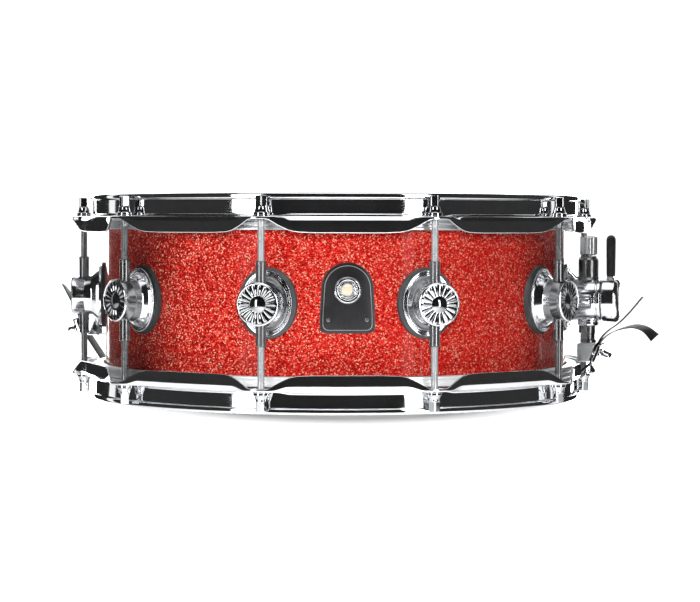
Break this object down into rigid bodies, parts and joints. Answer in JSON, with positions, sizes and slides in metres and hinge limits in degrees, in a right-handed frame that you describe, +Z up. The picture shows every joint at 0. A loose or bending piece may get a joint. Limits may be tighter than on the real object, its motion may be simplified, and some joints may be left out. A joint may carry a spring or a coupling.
{
  "type": "snare drum",
  "caption": "Snare drum with a sparkle-wrapped wooden shell, chrome hoops, tube lugs with tension rods, a lever strainer, a butt clamp and snare wires.",
  "frame": {"origin": "on the drum's vertical axis, in the plane of the lower hoop's lip that the drum rests on", "axes": "+Z up towards the batter head; the badge and vent face -Y; +X towards the strainer's side, which is the longest horizontal extent"},
  "size_m": [0.457, 0.397, 0.154],
  "materials": {
    "maple_shell": "clear lacquered maple plies",
    "sparkle_wrap": "glossy red sparkle wrap with fine metallic flake under a clear coat",
    "coated_film": "white textured coating on polyester film",
    "clear_film": "thin hazy polyester film",
    "aluminium_rings": "satin rolled aluminium",
    "chrome": "polished chrome plate",
    "gunmetal": "satin gunmetal plate with a fine bright border",
    "rubber": "moulded dark grey rubber",
    "satin_steel": "satin plated steel, knurled on the knob",
    "wire_steel": "bright coiled steel wire",
    "strap_tape": "black woven nylon tape"
  },
  "bodies": {
    "root": {"shell": "maple_shell", "shell_wrap": "sparkle_wrap", "batter_head_film": "coated_film", "snare_head_film": "clear_film", "batter_flesh_hoop": "aluminium_rings", "snare_flesh_hoop": "aluminium_rings", "batter_hoop": "chrome", "snare_hoop": "chrome", "vent_grommet": "chrome", "badge": "gunmetal", "lug_1": "chrome", "lug_2": "chrome", "lug_3": "chrome", "lug_4": "chrome", "lug_5": "chrome", "lug_6": "chrome", "lug_7": "chrome", "lug_8": "chrome", "lug_9": "chrome", "lug_10": "chrome", "strainer_gasket": "rubber", "butt_gasket": "rubber", "strainer_housing": "chrome", "butt_body": "chrome", "butt_clamp_plate": "chrome", "butt_clamp_screw_1": "chrome", "butt_clamp_screw_2": "chrome", "butt_strap": "strap_tape"},
    "lever": {"strainer_lever_hub": "chrome", "strainer_lever_grip": "rubber", "strainer_pivot_pin": "satin_steel"},
    "tuner": {"strainer_knob": "satin_steel", "strainer_adjuster_rod": "satin_steel"},
    "carriage": {"strainer_carriage": "chrome", "strainer_clamp_plate": "chrome", "strainer_clamp_screw_1": "chrome", "strainer_clamp_screw_2": "chrome", "strainer_strap_inner": "strap_tape", "strainer_strap_outer": "strap_tape"},
    "wires": {"snare_wires": "wire_steel"},
    "batter_rod_1": {"batter_rod_1": "chrome"},
    "snare_rod_1": {"snare_rod_1": "chrome"},
    "batter_rod_2": {"batter_rod_2": "chrome"},
    "snare_rod_2": {"snare_rod_2": "chrome"},
    "batter_rod_3": {"batter_rod_3": "chrome"},
    "snare_rod_3": {"snare_rod_3": "chrome"},
    "batter_rod_4": {"batter_rod_4": "chrome"},
    "snare_rod_4": {"snare_rod_4": "chrome"},
    "batter_rod_5": {"batter_rod_5": "chrome"},
    "snare_rod_5": {"snare_rod_5": "chrome"},
    "batter_rod_6": {"batter_rod_6": "chrome"},
    "snare_rod_6": {"snare_rod_6": "chrome"},
    "batter_rod_7": {"batter_rod_7": "chrome"},
    "snare_rod_7": {"snare_rod_7": "chrome"},
    "batter_rod_8": {"batter_rod_8": "chrome"},
    "snare_rod_8": {"snare_rod_8": "chrome"},
    "batter_rod_9": {"batter_rod_9": "chrome"},
    "snare_rod_9": {"snare_rod_9": "chrome"},
    "batter_rod_10": {"batter_rod_10": "chrome"},
    "snare_rod_10": {"snare_rod_10": "chrome"}
  },
  "joints": [
    {"name": "lever_throw", "type": "hinge", "parent": "root", "child": "lever", "pos_m": [0.19877, -0.06459, 0.0755], "axis": [0.9511, -0.309, 0], "range_deg": [0, 90]},
    {"name": "carriage_slide", "type": "slide", "parent": "root", "child": "carriage", "axis": [0, 0, -1], "range_m": [0, 0.003]},
    {"name": "wires_drop", "type": "hinge", "parent": "root", "child": "wires", "pos_m": [-0.15787, 0.0513, 0.0045], "axis": [0.309, 0.9511, 0], "range_deg": [0, 0.52]},
    {"name": "tuner_turn", "type": "hinge", "parent": "root", "child": "tuner", "pos_m": [0.18831, -0.06119, 0.116], "axis": [0, 0, 1], "continuous": true},
    {"name": "batter_rod_1_turn", "type": "hinge", "parent": "root", "child": "batter_rod_1", "pos_m": [0.1948, 0, 0.14], "axis": [0, 0, 1], "continuous": true},
    {"name": "batter_rod_2_turn", "type": "hinge", "parent": "root", "child": "batter_rod_2", "pos_m": [0.1576, 0.1145, 0.14], "axis": [0, 0, 1], "continuous": true},
    {"name": "batter_rod_3_turn", "type": "hinge", "parent": "root", "child": "batter_rod_3", "pos_m": [0.0602, 0.18527, 0.14], "axis": [0, 0, 1], "continuous": true},
    {"name": "batter_rod_4_turn", "type": "hinge", "parent": "root", "child": "batter_rod_4", "pos_m": [-0.0602, 0.18527, 0.14], "axis": [0, 0, 1], "continuous": true},
    {"name": "batter_rod_5_turn", "type": "hinge", "parent": "root", "child": "batter_rod_5", "pos_m": [-0.1576, 0.1145, 0.14], "axis": [0, 0, 1], "continuous": true},
    {"name": "batter_rod_6_turn", "type": "hinge", "parent": "root", "child": "batter_rod_6", "pos_m": [-0.1948, 0, 0.14], "axis": [0, 0, 1], "continuous": true},
    {"name": "batter_rod_7_turn", "type": "hinge", "parent": "root", "child": "batter_rod_7", "pos_m": [-0.1576, -0.1145, 0.14], "axis": [0, 0, 1], "continuous": true},
    {"name": "batter_rod_8_turn", "type": "hinge", "parent": "root", "child": "batter_rod_8", "pos_m": [-0.0602, -0.18527, 0.14], "axis": [0, 0, 1], "continuous": true},
    {"name": "batter_rod_9_turn", "type": "hinge", "parent": "root", "child": "batter_rod_9", "pos_m": [0.0602, -0.18527, 0.14], "axis": [0, 0, 1], "continuous": true},
    {"name": "batter_rod_10_turn", "type": "hinge", "parent": "root", "child": "batter_rod_10", "pos_m": [0.1576, -0.1145, 0.14], "axis": [0, 0, 1], "continuous": true},
    {"name": "snare_rod_1_turn", "type": "hinge", "parent": "root", "child": "snare_rod_1", "pos_m": [0.1948, 0, 0.014], "axis": [0, 0, 1], "continuous": true},
    {"name": "snare_rod_2_turn", "type": "hinge", "parent": "root", "child": "snare_rod_2", "pos_m": [0.1576, 0.1145, 0.014], "axis": [0, 0, 1], "continuous": true},
    {"name": "snare_rod_3_turn", "type": "hinge", "parent": "root", "child": "snare_rod_3", "pos_m": [0.0602, 0.18527, 0.014], "axis": [0, 0, 1], "continuous": true},
    {"name": "snare_rod_4_turn", "type": "hinge", "parent": "root", "child": "snare_rod_4", "pos_m": [-0.0602, 0.18527, 0.014], "axis": [0, 0, 1], "continuous": true},
    {"name": "snare_rod_5_turn", "type": "hinge", "parent": "root", "child": "snare_rod_5", "pos_m": [-0.1576, 0.1145, 0.014], "axis": [0, 0, 1], "continuous": true},
    {"name": "snare_rod_6_turn", "type": "hinge", "parent": "root", "child": "snare_rod_6", "pos_m": [-0.1948, 0, 0.014], "axis": [0, 0, 1], "continuous": true},
    {"name": "snare_rod_7_turn", "type": "hinge", "parent": "root", "child": "snare_rod_7", "pos_m": [-0.1576, -0.1145, 0.014], "axis": [0, 0, 1], "continuous": true},
    {"name": "snare_rod_8_turn", "type": "hinge", "parent": "root", "child": "snare_rod_8", "pos_m": [-0.0602, -0.18527, 0.014], "axis": [0, 0, 1], "continuous": true},
    {"name": "snare_rod_9_turn", "type": "hinge", "parent": "root", "child": "snare_rod_9", "pos_m": [0.0602, -0.18527, 0.014], "axis": [0, 0, 1], "continuous": true},
    {"name": "snare_rod_10_turn", "type": "hinge", "parent": "root", "child": "snare_rod_10", "pos_m": [0.1576, -0.1145, 0.014], "axis": [0, 0, 1], "continuous": true}
  ],
  "couplings": [
    {"joint": "carriage_slide", "follows": "lever_throw", "m_per_rad": 0.0019},
    {"joint": "wires_drop", "follows": "lever_throw", "ratio": 0.005723}
  ]
}
